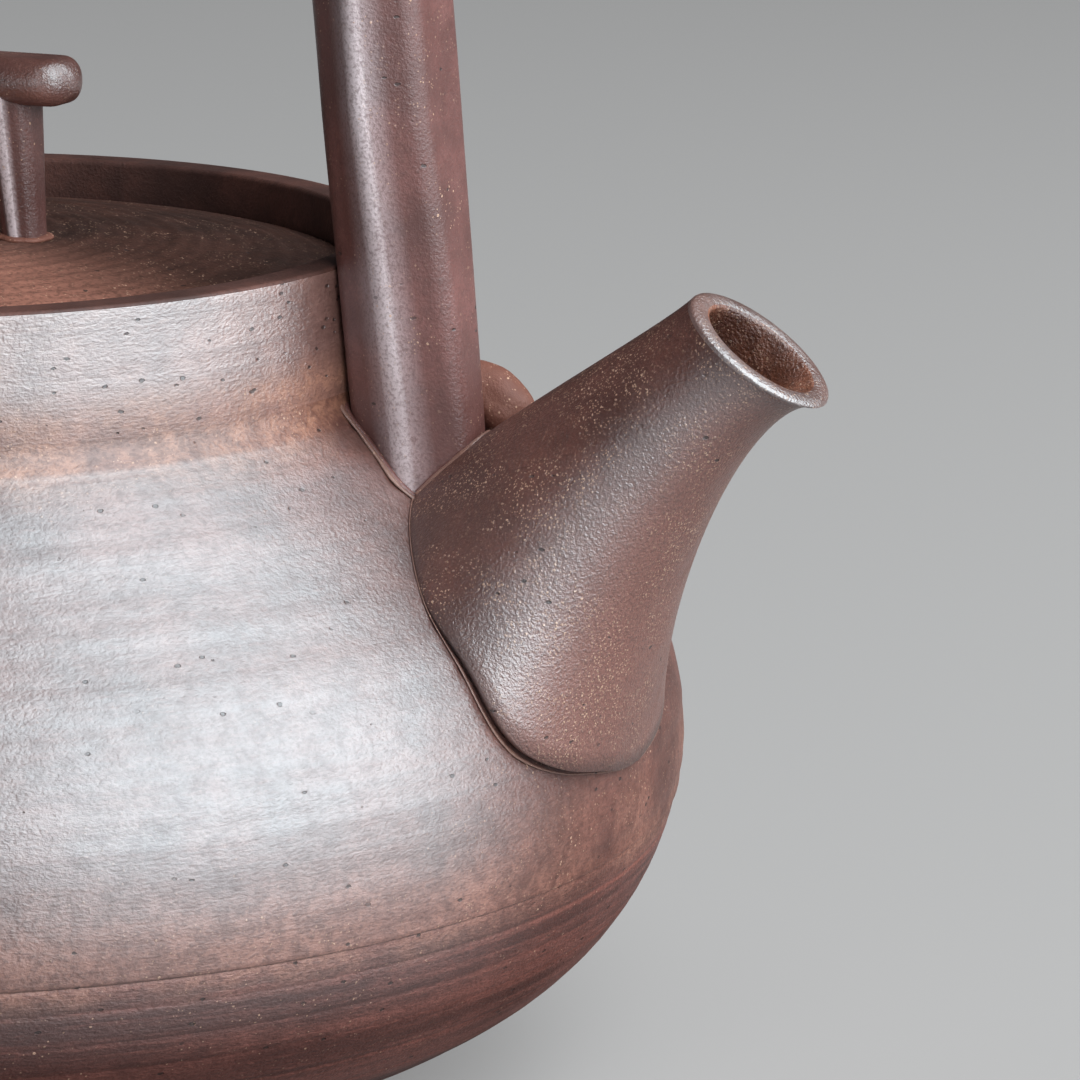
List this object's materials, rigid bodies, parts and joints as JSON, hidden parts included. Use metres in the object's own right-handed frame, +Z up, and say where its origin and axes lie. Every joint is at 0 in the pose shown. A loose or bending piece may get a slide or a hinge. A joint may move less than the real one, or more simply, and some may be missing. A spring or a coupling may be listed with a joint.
{
  "type": "teapot",
  "caption": "Unglazed clay teapot with a low round belly, an upright collar, a sunk lift-off lid with a bridge knob, a short tapered spout and a fixed overhead handle.",
  "frame": {"origin": "on the pot's axis, in the plane where the foot ring stands", "axes": "+Z up along the pot's axis, +X towards the spout"},
  "size_m": [0.1626, 0.144, 0.1686],
  "materials": {
    "body_clay": "unglazed satin clay with throwing lines and speckles",
    "handle_clay": "burnished purple-brown clay",
    "spout_clay": "satin dark brown clay with pale speckles",
    "lid_clay": "unglazed red-brown clay with rings",
    "knob_clay": "burnished purple-brown clay"
  },
  "bodies": {
    "pot": {"foot_ring": "body_clay", "base_disc": "body_clay", "belly_wall": "body_clay", "shoulder": "body_clay", "collar": "body_clay", "lid_ledge": "body_clay", "strainer": "spout_clay", "spout": "spout_clay", "front_handle_leg": "handle_clay", "back_handle_leg": "handle_clay", "handle_grip": "handle_clay"},
    "lid": {"lid_plate": "lid_clay", "lid_flange": "lid_clay", "front_knob_leg": "knob_clay", "back_knob_leg": "knob_clay", "knob_bar": "knob_clay"}
  },
  "joints": [
    {"name": "lid_lift", "type": "slide", "parent": "pot", "child": "lid", "axis": [0, 0, 1], "range_m": [0, 0.035]}
  ]
}
